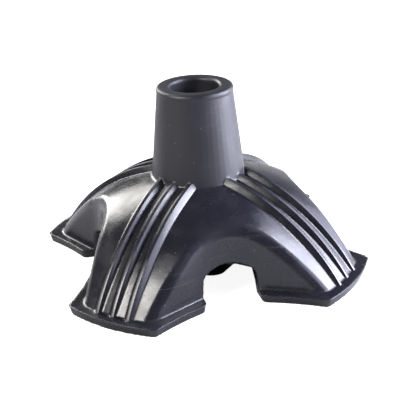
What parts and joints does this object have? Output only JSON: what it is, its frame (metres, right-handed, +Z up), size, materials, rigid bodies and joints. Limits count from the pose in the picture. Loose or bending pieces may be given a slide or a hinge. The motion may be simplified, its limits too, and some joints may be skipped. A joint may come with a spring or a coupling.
{
  "type": "cane stabilizer base",
  "caption": "Domed rubber foot for a walking cane, with ribbed legs on flanged feet, arches between them and a tapered socket that grips the cane's end so that it stands by itself.",
  "frame": {"origin": "on the floor plane under the feet, on the axis of the cane socket", "axes": "+Z up along the cane socket; two legs lie along X and two along Y"},
  "size_m": [0.1336, 0.1336, 0.0713],
  "materials": {
    "rubber": "satin"
  },
  "bodies": {
    "root": {"rubber_base": "rubber"}
  },
  "joints": []
}
